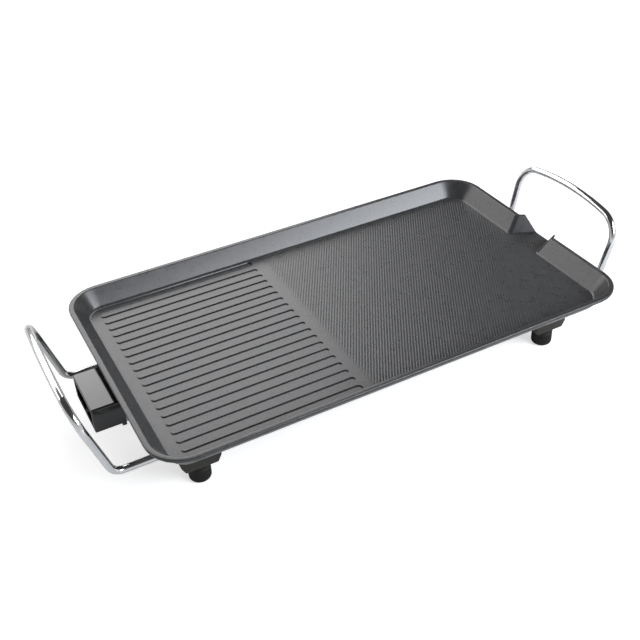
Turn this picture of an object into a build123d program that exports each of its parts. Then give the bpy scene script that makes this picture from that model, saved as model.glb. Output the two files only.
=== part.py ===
from build123d import *
import math
import os

# Electric griddle: a die-cast tray on four moulded legs, with a bent wire handle at each end.
# Millimetres. +X points to the pouring spout, -X to the power socket, +Z up.
# The origin is on the table, under the middle of the cooking plate.

# ---------------------------------------------------------------- sizes

# Cooking plate, from the outside in
plate_length = 470.0
plate_width = 274.0
corner_radius = 34.0          # outer corner of the rim, seen from above
rim_flange = 4.7              # flat top of the rim
lip_height = 3.0              # outer edge of the rim
lip_round = 1.2
lip_overhang = 3.2            # the lip stands this far out from the wall below it
wall_run = 11.8               # how far the inner wall leans in on its way down
wall_thickness = 3.0
tray_depth = 16.0             # from the rim down to the flat half
floor_thickness = 5.0         # metal under the rib channels

# Ribbed half
rib_pitch = 11.8
rib_width = 5.7
rib_height = 1.0
rib_start_inset = 28.6        # from the plate's left end to the ribs' rounded ends
rib_end_x = -42.0             # where the channels close, left of the middle
gutter_width_least = 8.0      # from the outermost rib to the foot of the wall
wall_foot_land = 1.0          # flat strip between the wall's foot and the gutter

# Pouring spout in the right end wall
spout_reach = 9.5             # past the plate's right end
spout_tip_half = 10.0         # half width of the floor at its tip
spout_taper = 0.47            # half width lost for each millimetre outwards
spout_flare = 10.4            # each side leans out by this from floor to rim
spout_end_lean = 5.5          # the end faces lean back by this from floor to rim
spout_wall = 2.4

# Legs: a moulded block with a round foot below it, held by one long screw
foot_height = 19.5
foot_diameter = 20.5
foot_round = 3.5
foot_spigot_diameter = 13.0
foot_spigot_height = 2.5
foot_screw_recess_diameter = 10.5
foot_screw_recess_depth = 10.0
leg_height = 38.5
leg_length = 37.0             # along X
leg_front = 11.4              # from the screw to the outer long face
leg_back = 14.6               # from the screw to the inner long face
leg_edge_round = 2.0
leg_chamfer_in = 3.5
leg_chamfer_up = 7.0
leg_inset_x = 48.5            # screw to the end of the plate
leg_inset_y = 57.4            # screw to the long side of the plate
leg_boss_diameter = 14.0
leg_boss_height = 6.0
leg_screw_diameter = 5.0
leg_screw_head_diameter = 9.5
leg_screw_head_height = 3.2
leg_screw_bite = 8.5          # thread inside the boss

# Wire handles
wire_diameter = 7.0
wire_bore_height = 13.5       # above the underside of the leg block
wire_offset = 8.1             # from the leg screw to the wire, towards the middle
wire_depth = 32.5             # length of wire inside the block
right_handle_reach = 49.5     # from the block to the upward bend
left_handle_reach = 51.6      # the wires are bent by hand tools, so the two differ a little
right_handle_lean = 75.7      # degrees above the table
left_handle_lean = 73.2
handle_rise = 75.5            # along the leaning leg, from the bend to the corner
handle_splay = 3.0            # the corners stand this much further apart than the bends
handle_bow = 9.1              # height of the arched grip above its corners
handle_bend_radius = 12.0
handle_corner_radius = 26.0
handle_bow_radius = 260.0
handle_bow_halfway = 0.75     # share of the bow reached halfway to each corner
grub_diameter = 4.0
grub_slot_width = 0.8
grub_slot_depth = 1.0
grub_offset = 10.5            # from the leg screw towards the outer end

# Heating element and what holds it
element_diameter = 8.0
element_sink = 1.0            # how far it is let into the underside
element_bend_radius = 20.0
element_leg_gap = 8.0         # between the element's turns and a leg block
element_outer_inset = 53.0    # from the long side of the plate to the two outer runs
element_run_gap = 4.0         # straight part between an outer bend and an inner one
element_inner_turn = 46.0     # from the outer turn to the inner turn, along X
channel_width = 14.0
channel_depth = 6.0
channel_start = 45.0          # from the plate's left end to the start of the cast channel
strap_thickness = 1.2
strap_width = 12.0
strap_length = 36.0
strap_hole_half = 13.0
strap_boss_diameter = 8.0
strap_outer_x = 70.0          # straps on the outer runs, either side of the middle
strap_inner_x = 48.0          # straps on the inner runs
small_screw_diameter = 3.5
small_screw_head_diameter = 6.6
small_screw_head_height = 2.2
small_screw_bite = 5.0
ear_screw_bite = 3.0          # short of breaking through the floor above
head_round_share = 0.6        # of a screw head's height
cross_length_share = 0.6      # of a screw head's width
cross_width_share = 0.2       # of a screw's shank

# Power socket at the left end
socket_half_width = 28.0
socket_above_axis = 12.5
socket_below_axis = 13.0
socket_reach = 22.0           # past the plate's left end
socket_length = 28.0
socket_wall = 3.0
socket_base_wall = 2.5
socket_back_wall = 4.0
socket_edge_round = 1.0
socket_flange_drop = 2.5      # the back flange hangs lower than the shroud
socket_screw_y = 22.0
socket_screw_below_axis = 8.0
terminal_spacing = 28.0
terminal_pin_diameter = 4.8
terminal_pin_out = 21.0       # past the front of the back wall
terminal_tail_diameter = 3.2  # the pin is thinner inside the element
terminal_pin_in = 7.0
terminal_bush_diameter = 6.3
terminal_bush_out = 3.0
sheath_out = 1.0
probe_tube_diameter = 6.6
probe_tube_bore = 5.4
probe_tube_length = 66.0
probe_tube_out = 3.0
probe_boss_length = 12.0
probe_boss_width = 13.0
probe_boss_drop = 8.0

# Sheet steel bracket that carries the socket, and the earth contact
bracket_thickness = 1.5
bracket_half_width = 27.5
bracket_ear_length = 24.0
bracket_ear_width = 8.0
bracket_lip_length = 13.0
bracket_lip_half = 8.0
earth_half_width = 5.0
earth_thickness = 0.8
earth_length = 34.0
earth_screw_diameter = 3.0
earth_screw_head_diameter = 5.5
earth_screw_head_height = 1.8

# Fits, as radial or side gaps
thread_gap = 0.02             # screw in its threaded hole
bore_gap = 0.05               # wire, tube or bush in its bore
screw_gap = 0.3               # screw through a plain hole
seat_gap = 0.2                # moulded recess around what sits in it
above = 5.0                   # extra height so that a lofted cut runs clear of the rim
clear = 1.0                   # how far a cut runs past the face it opens

# ---------------------------------------------------------------- heights and places

leg_bottom = foot_height
underside = leg_bottom + leg_height
channel_floor = underside + floor_thickness
flat_floor = channel_floor + rib_height
rim_top = flat_floor + tray_depth

plate_end = plate_length / 2
plate_side = plate_width / 2
wall_slope = wall_run / tray_depth
wall_foot_inset = rim_flange + wall_run
wall_skin = wall_thickness * math.hypot(1.0, wall_slope)
lip_bottom = rim_top - lip_height

leg_x = plate_end - leg_inset_x
leg_y = plate_side - leg_inset_y
wire_y = leg_y - wire_offset
wire_z = leg_bottom + wire_bore_height

element_z = underside + element_sink - element_diameter / 2
element_turn_x = leg_x - leg_length / 2 - element_leg_gap - element_diameter / 2
element_outer_y = plate_side - element_outer_inset
element_inner_half = element_outer_y - 2 * element_bend_radius - element_run_gap
strap_face = element_z - element_diameter / 2
terminal_y = terminal_spacing / 2

socket_front = -plate_end - socket_reach
socket_back = socket_front + socket_length
socket_inner_back = socket_back - socket_back_wall
socket_top = element_z + socket_above_axis
socket_bottom = element_z - socket_below_axis
socket_screw_z = element_z - socket_screw_below_axis
ear_y = bracket_half_width - bracket_ear_width / 2
ear_screw_x = socket_back + bracket_ear_length - bracket_ear_width / 2
earth_screw_x = socket_back + bracket_thickness + bracket_lip_length / 2


# ---------------------------------------------------------------- helpers

def disc(radius, x=0.0, y=0.0, z=0.0):
    """A round face lying flat, to be extruded up."""
    return Pos(x, y, z) * Circle(radius)


def post(radius, x, y, bottom, top):
    """An upright cylinder between two heights."""
    return extrude(disc(radius, x, y, bottom), top - bottom)


def rod_x(radius, start_x, end_x, y, z):
    """A cylinder along X between two ends."""
    face = Plane(origin=(start_x, y, z), x_dir=(0, 1, 0), z_dir=(1, 0, 0)) * Circle(radius)
    return extrude(face, end_x - start_x)


def block(x_range, y_range, z_range):
    """A box given by its two ends along each axis."""
    size = [b - a for a, b in (x_range, y_range, z_range)]
    middle = [(a + b) / 2 for a, b in (x_range, y_range, z_range)]
    return Pos(*middle) * Box(*size)


def plate_outline(inset, height):
    """The plate's rounded rectangle, stepped in from the rim, at one height."""
    outline = RectangleRounded(
        plate_length - 2 * inset, plate_width - 2 * inset, corner_radius - inset
    )
    return Pos(0, 0, height) * outline


def rows(count, pitch):
    """Evenly spaced places, centred on zero."""
    return [(index - (count - 1) / 2) * pitch for index in range(count)]


def pan_screw(diameter, head_diameter, head_height, length):
    """A screw that points up: the underside of its head is at height zero."""
    head = extrude(Circle(head_diameter / 2), -head_height)
    head = fillet(head.edges().sort_by(Axis.Z)[0], head_height * head_round_share)
    cross_length = head_diameter * cross_length_share
    cross_width = diameter * cross_width_share
    cross = Box(cross_length, cross_width, head_height)
    cross += Box(cross_width, cross_length, head_height)
    head -= Pos(0, 0, -head_height) * cross
    return head + extrude(Circle(diameter / 2), length)


# ---------------------------------------------------------------- paths

def element_path(start_x):
    """The element's centre line: in at the socket end, round both halves and out again."""
    inner_x = -element_turn_x + element_inner_turn
    half = [
        (start_x, terminal_y),
        (-element_turn_x, terminal_y),
        (-element_turn_x, element_outer_y),
        (element_turn_x, element_outer_y),
        (element_turn_x, element_inner_half),
        (inner_x, element_inner_half),
    ]
    points = half + [(x, -y) for x, y in reversed(half)]
    return Pos(0, 0, element_z) * FilletPolyline(*points, radius=element_bend_radius)


def along(path, profile):
    """A profile swept along a path from its start."""
    start = Plane(origin=path @ 0, z_dir=path % 0)
    return sweep(start * profile, path=path)


# ---------------------------------------------------------------- cooking plate

def tray_shell():
    """The outside of the casting: the lip, and the wall leaning in below it."""
    lip = extrude(plate_outline(0, lip_bottom), lip_height)
    lip = fillet(lip.edges().group_by(Axis.Z)[-1], lip_round)
    foot_inset = wall_foot_inset + (flat_floor - underside) * wall_slope - wall_skin
    wall = loft([plate_outline(lip_overhang, lip_bottom), plate_outline(foot_inset, underside)])
    return lip + wall


def tray_hollow():
    """The space inside the tray, down to the flat half."""
    top_inset = rim_flange - above * wall_slope
    return loft([
        plate_outline(top_inset, rim_top + above),
        plate_outline(wall_foot_inset, flat_floor),
    ])


def spout_section(x, skin):
    """The spout's section across the plate; skin is zero for the channel itself."""
    tip_x = plate_end + spout_reach
    floor_half = spout_tip_half + (tip_x - x) * spout_taper
    rise = tray_depth if skin else tray_depth + above
    flare = spout_flare * rise / tray_depth
    side_skin = skin * math.hypot(tray_depth, spout_flare) / tray_depth
    lower = flat_floor - skin
    lower_half = floor_half + side_skin - skin * spout_flare / tray_depth
    plane = Plane(origin=(x, 0, 0), x_dir=(0, 1, 0), z_dir=(1, 0, 0))
    upper = flat_floor + rise
    upper_half = floor_half + flare + side_skin
    return plane * Polygon(
        (-lower_half, lower),
        (lower_half, lower),
        (upper_half, upper),
        (-upper_half, upper),
        align=None,
    )


def spout_end_cut():
    """What is taken off beyond the leaning end faces of the spout."""
    tip_x = plate_end + spout_reach
    side = Plane.XZ * Polygon(
        (tip_x, underside - above),
        (tip_x, flat_floor),
        (tip_x - spout_end_lean, rim_top),
        (tip_x - spout_end_lean, rim_top + above),
        (tip_x + above, rim_top + above),
        (tip_x + above, underside - above),
        align=None,
    )
    return extrude(side, plate_width, both=True)


def rib_channels():
    """The sunken floor round and between the ribs, as the solid to be cut away."""
    floor_width = plate_width - 2 * wall_foot_inset
    room = floor_width - 2 * gutter_width_least - rib_width
    rib_count = int(room / rib_pitch) + 1
    rib_start = -plate_end + rib_start_inset
    left = -plate_end + wall_foot_inset + wall_foot_land
    gutter_edge = plate_side - wall_foot_inset - wall_foot_land
    last_rib = (rib_count - 1) / 2 * rib_pitch + rib_width / 2
    gutter_width = gutter_edge - last_rib
    field_end = rib_end_x - gutter_width

    outline = plate_outline(wall_foot_inset + wall_foot_land, 0)
    field_size = field_end + plate_end
    field = outline & (Pos(-plate_end + field_size / 2, 0) * Rectangle(field_size, plate_width))
    for y in rows(rib_count - 1, rib_pitch):
        width = rib_pitch - rib_width
        reach = rib_end_x - rib_start
        field += Pos(rib_end_x - reach / 2, y) * SlotOverall(reach, width)
    for side in (-1, 1):
        reach = rib_end_x + plate_end / 2
        middle = side * (last_rib + gutter_width / 2)
        field += Pos(rib_end_x - reach / 2, middle) * SlotOverall(reach, gutter_width)
    rib_reach = rib_end_x - rib_start + rib_pitch
    for y in rows(rib_count, rib_pitch):
        field -= Pos(rib_start + rib_reach / 2, y) * SlotOverall(rib_reach, rib_width)
    return extrude(Pos(0, 0, channel_floor) * field, rib_height + above)


def strap_places():
    """The middle of each strap: two over each long run of the element."""
    places = []
    for x, y in ((strap_outer_x, element_outer_y), (strap_inner_x, element_inner_half)):
        places += [(x, y), (x, -y), (-x, y), (-x, -y)]
    return places


def cooking_plate():
    plate = tray_shell()
    root_x = plate_end - wall_foot_inset
    tip_x = plate_end + spout_reach
    plate += loft([spout_section(root_x, spout_wall), spout_section(tip_x, spout_wall)])
    plate -= spout_end_cut()
    plate -= tray_hollow()
    plate -= loft([spout_section(root_x - above, 0), spout_section(tip_x + above, 0)])
    plate -= rib_channels()

    # Cast channel for the element, bosses for the legs, straps and probe tube
    plate += element_channel()
    for x, y in strap_places():
        for shift in (-strap_hole_half, strap_hole_half):
            plate += post(strap_boss_diameter / 2, x, y + shift, strap_face, underside)
    for x in (-leg_x, leg_x):
        for y in (-leg_y, leg_y):
            plate += post(leg_boss_diameter / 2, x, y, underside - leg_boss_height, underside)
    tube_end = socket_inner_back - probe_tube_out + probe_tube_length
    half = probe_boss_width / 2
    plate += block(
        (tube_end - probe_boss_length, tube_end),
        (-half, half),
        (underside - probe_boss_drop, underside),
    )

    # Grooves and screw holes
    plate -= along(element_path(socket_inner_back), Circle(element_diameter / 2 + bore_gap))
    plate -= rod_x(
        probe_tube_diameter / 2 + bore_gap, -plate_end, tube_end + above, 0, element_z
    )
    for x in (-leg_x, leg_x):
        for y in (-leg_y, leg_y):
            bottom = underside - leg_boss_height
            plate -= post(leg_screw_diameter / 2 + thread_gap, x, y, bottom, bottom + leg_screw_bite)
    for x, y in strap_places():
        for shift in (-strap_hole_half, strap_hole_half):
            plate -= post(
                small_screw_diameter / 2 + thread_gap, x, y + shift,
                strap_face, strap_face + small_screw_bite,
            )
    for y in (-ear_y, ear_y):
        plate -= post(
            small_screw_diameter / 2 + thread_gap, ear_screw_x, y, underside,
            underside + ear_screw_bite,
        )
    return plate


def element_channel():
    """The raised band under the plate that the element is pressed into."""
    path = element_path(-plate_end + channel_start)
    start = Plane(origin=path @ 0, x_dir=(0, 1, 0), z_dir=path % 0)
    top = underside - element_z
    profile = Pos(0, top - channel_depth / 2) * Rectangle(channel_width, channel_depth)
    return sweep(start * profile, path=path)


# ---------------------------------------------------------------- heating element and straps

def heating_element():
    start = socket_inner_back - sheath_out
    element = along(element_path(start), Circle(element_diameter / 2))
    for y in (-terminal_y, terminal_y):
        element -= rod_x(
            terminal_bush_diameter / 2 + bore_gap,
            start - clear, socket_inner_back + terminal_pin_in, y, element_z,
        )
    return element


def element_straps():
    """Flat steel straps across the element, each with two screw holes."""
    top = strap_face - bore_gap
    straps = []
    for x, y in strap_places():
        strap = block(
            (x - strap_width / 2, x + strap_width / 2),
            (y - strap_length / 2, y + strap_length / 2),
            (top - strap_thickness, top),
        )
        strap = fillet(strap.edges().filter_by(Axis.Z), strap_width / 3)
        for shift in (-strap_hole_half, strap_hole_half):
            hole = small_screw_diameter / 2 + screw_gap
            strap -= post(hole, x, y + shift, top - strap_thickness - clear, top + clear)
        straps.append(strap)
    return straps


def strap_screws():
    head_seat = strap_face - bore_gap - strap_thickness
    screw = pan_screw(
        small_screw_diameter, small_screw_head_diameter, small_screw_head_height,
        small_screw_bite + strap_thickness,
    )
    screws = []
    for x, y in strap_places():
        for shift in (-strap_hole_half, strap_hole_half):
            screws.append(Pos(x, y + shift, head_seat) * screw)
    return screws


# ---------------------------------------------------------------- legs and feet

def leg_block():
    """The leg at the far right; its screw stands on (leg_x, leg_y)."""
    half = leg_length / 2
    end_view = Plane.XZ * Polygon(
        (-half, leg_height),
        (half, leg_height),
        (half, leg_chamfer_up),
        (half - leg_chamfer_in, 0),
        (-half + leg_chamfer_in, 0),
        (-half, leg_chamfer_up),
        align=None,
    )
    depth = leg_front + leg_back
    leg = Pos(0, leg_front - depth / 2, 0) * extrude(end_view, depth / 2, both=True)
    leg = fillet(leg.edges().filter_by(Axis.Z), leg_edge_round)
    leg = Pos(leg_x, leg_y, leg_bottom) * leg

    boss_seat = underside - leg_boss_height - seat_gap
    leg -= post(leg_boss_diameter / 2 + seat_gap, leg_x, leg_y, boss_seat, underside + clear)
    leg -= post(leg_screw_diameter / 2 + screw_gap, leg_x, leg_y, leg_bottom - clear, underside)
    spigot_top = leg_bottom + foot_spigot_height + seat_gap
    leg -= post(foot_spigot_diameter / 2 + seat_gap, leg_x, leg_y, leg_bottom - clear, spigot_top)

    outer_face = leg_x + half
    leg -= rod_x(
        wire_diameter / 2 + bore_gap, outer_face - wire_depth - seat_gap, outer_face + clear,
        wire_y, wire_z,
    )
    leg -= post(
        grub_diameter / 2 + thread_gap, leg_x + grub_offset, wire_y, leg_bottom - clear, wire_z,
    )
    return leg


def foot():
    """The round foot under a leg, turned about its screw."""
    radius = foot_diameter / 2
    body = extrude(disc(radius, leg_x, leg_y, 0), foot_height)
    body = fillet(body.edges().sort_by(Axis.Z)[0], foot_round)
    body += post(
        foot_spigot_diameter / 2, leg_x, leg_y, foot_height, foot_height + foot_spigot_height
    )
    body -= post(foot_screw_recess_diameter / 2, leg_x, leg_y, -clear, foot_screw_recess_depth)
    spigot_top = foot_height + foot_spigot_height
    body -= post(leg_screw_diameter / 2 + screw_gap, leg_x, leg_y, 0, spigot_top + clear)
    return body


def leg_screws():
    tip = underside - leg_boss_height + leg_screw_bite - 2 * seat_gap
    screw = pan_screw(
        leg_screw_diameter, leg_screw_head_diameter, leg_screw_head_height,
        tip - foot_screw_recess_depth,
    )
    return [
        Pos(x, y, foot_screw_recess_depth) * screw
        for x in (-leg_x, leg_x) for y in (-leg_y, leg_y)
    ]


def grub_screws():
    """Slotted screws from below that pinch the wires in their bores."""
    top = wire_z - wire_diameter / 2
    bottom = leg_bottom + seat_gap
    screw = extrude(Circle(grub_diameter / 2), top - bottom)
    screw -= Box(grub_diameter + clear, grub_slot_width, 2 * grub_slot_depth)
    offset = leg_x + grub_offset
    return [
        Pos(x, y, bottom) * screw for x in (-offset, offset) for y in (-wire_y, wire_y)
    ]


# ---------------------------------------------------------------- handles

def wire_handle(reach, lean_degrees):
    """A handle at the right end: out of one leg, up, across and back to the other."""
    outer_face = leg_x + leg_length / 2
    bend_x = outer_face + reach
    lean = math.radians(lean_degrees)

    def on_loop(y, distance):
        """A point on the leaning loop, this far up from the bends."""
        return (bend_x + distance * math.cos(lean), y, wire_z + distance * math.sin(lean))

    corner_y = wire_y + handle_splay
    half = [
        (outer_face - wire_depth, -wire_y, wire_z),
        (bend_x, -wire_y, wire_z),
        on_loop(-corner_y, handle_rise),
        on_loop(-corner_y / 2, handle_rise + handle_bow * handle_bow_halfway),
    ]
    top = [on_loop(0, handle_rise + handle_bow)]
    other_half = [(x, -y, z) for x, y, z in reversed(half)]
    radii = [handle_bend_radius, handle_corner_radius, handle_bow_radius]
    path = FilletPolyline(
        *half, *top, *other_half, radius=radii + [handle_bow_radius] + radii[::-1]
    )
    return along(path, Circle(wire_diameter / 2))


# ---------------------------------------------------------------- power socket

def socket_shroud():
    """The moulded shroud round the terminals, open at its outer end."""
    shroud = block(
        (socket_front, socket_back),
        (-socket_half_width, socket_half_width),
        (socket_bottom, socket_top),
    )
    shroud = fillet(shroud.edges().filter_by(Axis.X), socket_edge_round)
    flange_bottom = socket_bottom - socket_flange_drop
    shroud += block(
        (socket_inner_back, socket_back),
        (-socket_half_width, socket_half_width),
        (flange_bottom, socket_top - socket_edge_round),
    )
    inner_half = socket_half_width - socket_wall
    floor = socket_bottom + socket_base_wall
    shroud -= block(
        (socket_front - clear, socket_inner_back),
        (-inner_half, inner_half),
        (floor, socket_top - socket_wall),
    )
    through = (socket_inner_back - clear, socket_back + clear)
    for y in (-terminal_y, terminal_y):
        shroud -= rod_x(element_diameter / 2 + bore_gap, *through, y, element_z)
    shroud -= rod_x(probe_tube_diameter / 2 + bore_gap, *through, 0, element_z)
    for y in (-socket_screw_y, socket_screw_y):
        shroud -= rod_x(small_screw_diameter / 2 + thread_gap, *through, y, socket_screw_z)
    slot_half = earth_half_width + seat_gap
    shroud -= block(
        through,
        (-slot_half, slot_half),
        (floor, floor + earth_thickness + seat_gap),
    )
    return shroud


def socket_screws():
    """Screws from behind the bracket into the shroud's back wall."""
    screw = pan_screw(
        small_screw_diameter, small_screw_head_diameter, small_screw_head_height,
        bracket_thickness + socket_back_wall,
    )
    screw = Rot(0, -90, 0) * screw
    seat_x = socket_back + bracket_thickness
    return [Pos(seat_x, y, socket_screw_z) * screw for y in (-socket_screw_y, socket_screw_y)]


def socket_bracket():
    """Bent sheet: an upright behind the shroud, two ears under the plate, a lip for the earth."""
    bottom = socket_bottom + socket_base_wall - bracket_thickness
    upright = (socket_back, socket_back + bracket_thickness)
    bracket = block(upright, (-bracket_half_width, bracket_half_width), (bottom, underside))
    ear_end = socket_back + bracket_ear_length
    for side in (-1, 1):
        inner = side * (bracket_half_width - bracket_ear_width)
        outer = side * bracket_half_width
        y_range = (min(inner, outer), max(inner, outer))
        bracket += block((socket_back, ear_end), y_range, (underside - bracket_thickness, underside))
    lip_end = socket_back + bracket_thickness + bracket_lip_length
    bracket += block(
        (socket_back, lip_end),
        (-bracket_lip_half, bracket_lip_half),
        (bottom, bottom + bracket_thickness),
    )
    through = (socket_back - clear, socket_back + bracket_thickness + clear)
    for y in (-terminal_y, terminal_y):
        bracket -= rod_x(element_diameter / 2 + seat_gap, *through, y, element_z)
    bracket -= rod_x(probe_tube_diameter / 2 + seat_gap, *through, 0, element_z)
    hole = small_screw_diameter / 2 + screw_gap
    for y in (-socket_screw_y, socket_screw_y):
        bracket -= rod_x(hole, *through, y, socket_screw_z)
    for y in (-ear_y, ear_y):
        ear_bottom = underside - bracket_thickness
        bracket -= post(hole, ear_screw_x, y, ear_bottom - clear, underside + clear)
    slot_half = earth_half_width + seat_gap
    earth_bottom = socket_bottom + socket_base_wall
    bracket -= block(
        through, (-slot_half, slot_half), (earth_bottom, earth_bottom + earth_thickness + seat_gap)
    )
    hole = earth_screw_diameter / 2 + screw_gap
    bracket -= post(hole, earth_screw_x, 0, bottom - clear, bottom + bracket_thickness + clear)
    return bracket


def bracket_screws():
    screw = pan_screw(
        small_screw_diameter, small_screw_head_diameter, small_screw_head_height,
        bracket_thickness + ear_screw_bite,
    )
    return [
        Pos(ear_screw_x, y, underside - bracket_thickness) * screw for y in (-ear_y, ear_y)
    ]


def earth_contact():
    """A springy strip on the socket's floor that runs back over the bracket's lip."""
    bottom = socket_bottom + socket_base_wall
    end = socket_back + bracket_thickness + bracket_lip_length
    strip = block(
        (end - earth_length, end),
        (-earth_half_width, earth_half_width),
        (bottom, bottom + earth_thickness),
    )
    hole = earth_screw_diameter / 2 + screw_gap
    return strip - post(hole, earth_screw_x, 0, bottom - clear, bottom + earth_thickness + clear)


def earth_screw():
    """The earth screw points down through the strip and the lip."""
    screw = pan_screw(
        earth_screw_diameter, earth_screw_head_diameter, earth_screw_head_height,
        earth_thickness + 2 * bracket_thickness,
    )
    seat = socket_bottom + socket_base_wall + earth_thickness
    return Pos(earth_screw_x, 0, seat) * (Rot(180, 0, 0) * screw)


def terminal_bush(y):
    """The insulating bush that closes one end of the element."""
    start = socket_inner_back - sheath_out - terminal_bush_out
    end = socket_inner_back + terminal_pin_in
    bush = rod_x(terminal_bush_diameter / 2, start, end, y, element_z)
    hole = terminal_tail_diameter / 2 + bore_gap
    return bush - rod_x(hole, start - clear, end + clear, y, element_z)


def terminal_pin(y):
    """A pin for the plug; its shoulder stands on the bush and its tail goes through it."""
    start = socket_inner_back - terminal_pin_out
    shoulder = socket_inner_back - sheath_out - terminal_bush_out
    pin = rod_x(terminal_pin_diameter / 2, start, shoulder, y, element_z)
    pin = fillet(pin.edges().sort_by(Axis.X)[0], terminal_pin_diameter / 3)
    tail_end = socket_inner_back + terminal_pin_in
    return pin + rod_x(terminal_tail_diameter / 2, shoulder, tail_end, y, element_z)


def probe_tube():
    """The tube that guides the plug's probe to the underside of the plate."""
    start = socket_inner_back - probe_tube_out
    end = start + probe_tube_length
    tube = rod_x(probe_tube_diameter / 2, start, end, 0, element_z)
    return tube - rod_x(probe_tube_bore / 2, start - clear, end - clear, 0, element_z)


# ---------------------------------------------------------------- the whole griddle

def group(solids):
    return Compound(children=list(solids))


far_right_leg = leg_block()
far_right_foot = foot()
parts = {
    "cooking_plate": cooking_plate(),
    "heating_element": heating_element(),
    "element_straps": group(element_straps()),
    "strap_screws": group(strap_screws()),
    "right_handle": wire_handle(right_handle_reach, right_handle_lean),
    "left_handle": mirror(wire_handle(left_handle_reach, left_handle_lean), about=Plane.YZ),
    "leg_screws": group(leg_screws()),
    "handle_grub_screws": group(grub_screws()),
    "socket_shroud": socket_shroud(),
    "socket_bracket": socket_bracket(),
    "socket_screws": group(socket_screws()),
    "bracket_screws": group(bracket_screws()),
    "earth_contact": earth_contact(),
    "earth_screw": earth_screw(),
    "probe_tube": probe_tube(),
    "terminal_pin_far": terminal_pin(terminal_y),
    "terminal_pin_near": terminal_pin(-terminal_y),
    "terminal_bush_far": terminal_bush(terminal_y),
    "terminal_bush_near": terminal_bush(-terminal_y),
}
for kind, far_right in (("leg", far_right_leg), ("foot", far_right_foot)):
    near_right = mirror(far_right, about=Plane.XZ)
    parts[f"{kind}_far_right"] = far_right
    parts[f"{kind}_near_right"] = near_right
    parts[f"{kind}_far_left"] = mirror(far_right, about=Plane.YZ)
    parts[f"{kind}_near_left"] = mirror(near_right, about=Plane.YZ)

os.makedirs("parts", exist_ok=True)
for name, part in parts.items():
    export_step(part, f"parts/{name}.step")
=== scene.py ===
import math

import bmesh
import bpy
from mathutils import Matrix, Vector


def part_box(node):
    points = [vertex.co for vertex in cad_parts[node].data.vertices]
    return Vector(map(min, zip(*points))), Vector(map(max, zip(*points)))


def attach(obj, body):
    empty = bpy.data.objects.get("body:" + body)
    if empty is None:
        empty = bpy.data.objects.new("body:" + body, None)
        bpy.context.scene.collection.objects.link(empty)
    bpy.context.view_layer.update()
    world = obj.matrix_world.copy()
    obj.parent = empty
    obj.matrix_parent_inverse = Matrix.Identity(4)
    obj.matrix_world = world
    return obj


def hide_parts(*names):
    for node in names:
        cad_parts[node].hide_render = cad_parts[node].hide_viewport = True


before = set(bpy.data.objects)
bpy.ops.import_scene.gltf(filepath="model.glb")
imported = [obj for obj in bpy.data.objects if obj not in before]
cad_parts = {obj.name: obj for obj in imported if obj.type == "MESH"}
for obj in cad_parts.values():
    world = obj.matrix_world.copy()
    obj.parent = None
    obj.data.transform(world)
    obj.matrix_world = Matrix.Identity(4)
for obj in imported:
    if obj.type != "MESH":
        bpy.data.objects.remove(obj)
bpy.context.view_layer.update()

# Electric griddle. Pieces are worked out in millimetres in the row frame and turned to metres at the end.
# +X points to the pouring spout, -X to the power socket, +Z up; the table is at height zero.
MM = 0.001


# ------------------------------------------------ places taken from the frame

def node_box(name):
    """Lowest and highest corner of a CAD node, in millimetres."""
    low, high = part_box(name)
    return low / MM, high / MM


plate_low, plate_high = node_box("cooking_plate")
leg_low, leg_high = node_box("leg_far_right")
foot_low, foot_high = node_box("foot_far_right")
shroud_low, shroud_high = node_box("socket_shroud")
strap_high = node_box("element_straps")[1]

plate_end = -plate_low.x
plate_side = plate_high.y
rim_top = plate_high.z
spout_tip = plate_high.x
underside = leg_high.z
leg_middle = (leg_low + leg_high) / 2
foot_middle = (foot_low + foot_high) / 2

# ------------------------------------------------ sizes of the cooking plate

corner_radius = 34.0
rim_flange = 4.7
rim_outer_round = 0.9
rim_inner_round = 1.3
lip_height = 3.0
wall_run = 11.8
tray_depth = 16.0
wall_thickness = 3.0
foot_round = 3.0              # the concave bend where the wall meets the floor
bottom_round = 3.0

spout_tip_half = 10.0
spout_taper = 0.47
spout_flare = 10.4
spout_end_lean = 5.5
spout_wall = 2.4
spout_root_round = 6.0        # the rounded post between the end wall and the spout's side
below_root_half = 8.0         # half the span that the lower outside keeps straight below the spout
below_root_spacing = 0.8      # between the points drawn along that span

rib_count = 19
rib_pitch = 11.8
rib_base = 6.2
rib_height = 1.0
wall_foot_land = 2.0          # level strip between the wall's foot and the channels
rib_start = -206.4
rib_end = -42.0
smooth_band = 9.0             # plain strip between the channels and the dimples

dimple_pitch = 3.0
dimple_row = 2.6
dimple_depth = 0.36
dimple_samples = 5            # grid lines for each dimple

# ------------------------------------------------ sizes of the handles and the underside

wire_bore_inset = 19.5        # from the outer side of a leg in to the wire's axis
bow_slack = 0.1               # the bow's arc stays this far inside its highest corner

element_radius = 4.0
element_bend = 20.0
element_inner_y = 40.0
element_inner_turn = 46.0     # how far short of the outer turn the inner runs turn back
terminal_y = 14.0
terminal_inset = 45.0         # from the plate's end in to the start of the element

strap_half_width = 6.0
strap_half_length = 18.0
strap_inner_x = 48.0
strap_boss_offset = 13.0      # from a strap's middle to each of its two bosses
strap_boss_radius = 4.0
leg_boss_radius = 7.0
leg_boss_length = 6.0

# ------------------------------------------------ levels worked out from the sizes

flat_floor = rim_top - tray_depth
ribbed_floor = flat_floor - rib_height
wall_slope = wall_run / tray_depth
wall_skin = wall_thickness * math.hypot(1.0, wall_slope)
spout_skin = spout_wall * math.hypot(1.0, spout_flare / tray_depth)
wall_foot = rim_flange + wall_run
hidden = 1.3                  # how far one surface runs on inside the metal of the next
dimple_start = rib_end + smooth_band


# ------------------------------------------------ colour and nodes

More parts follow.
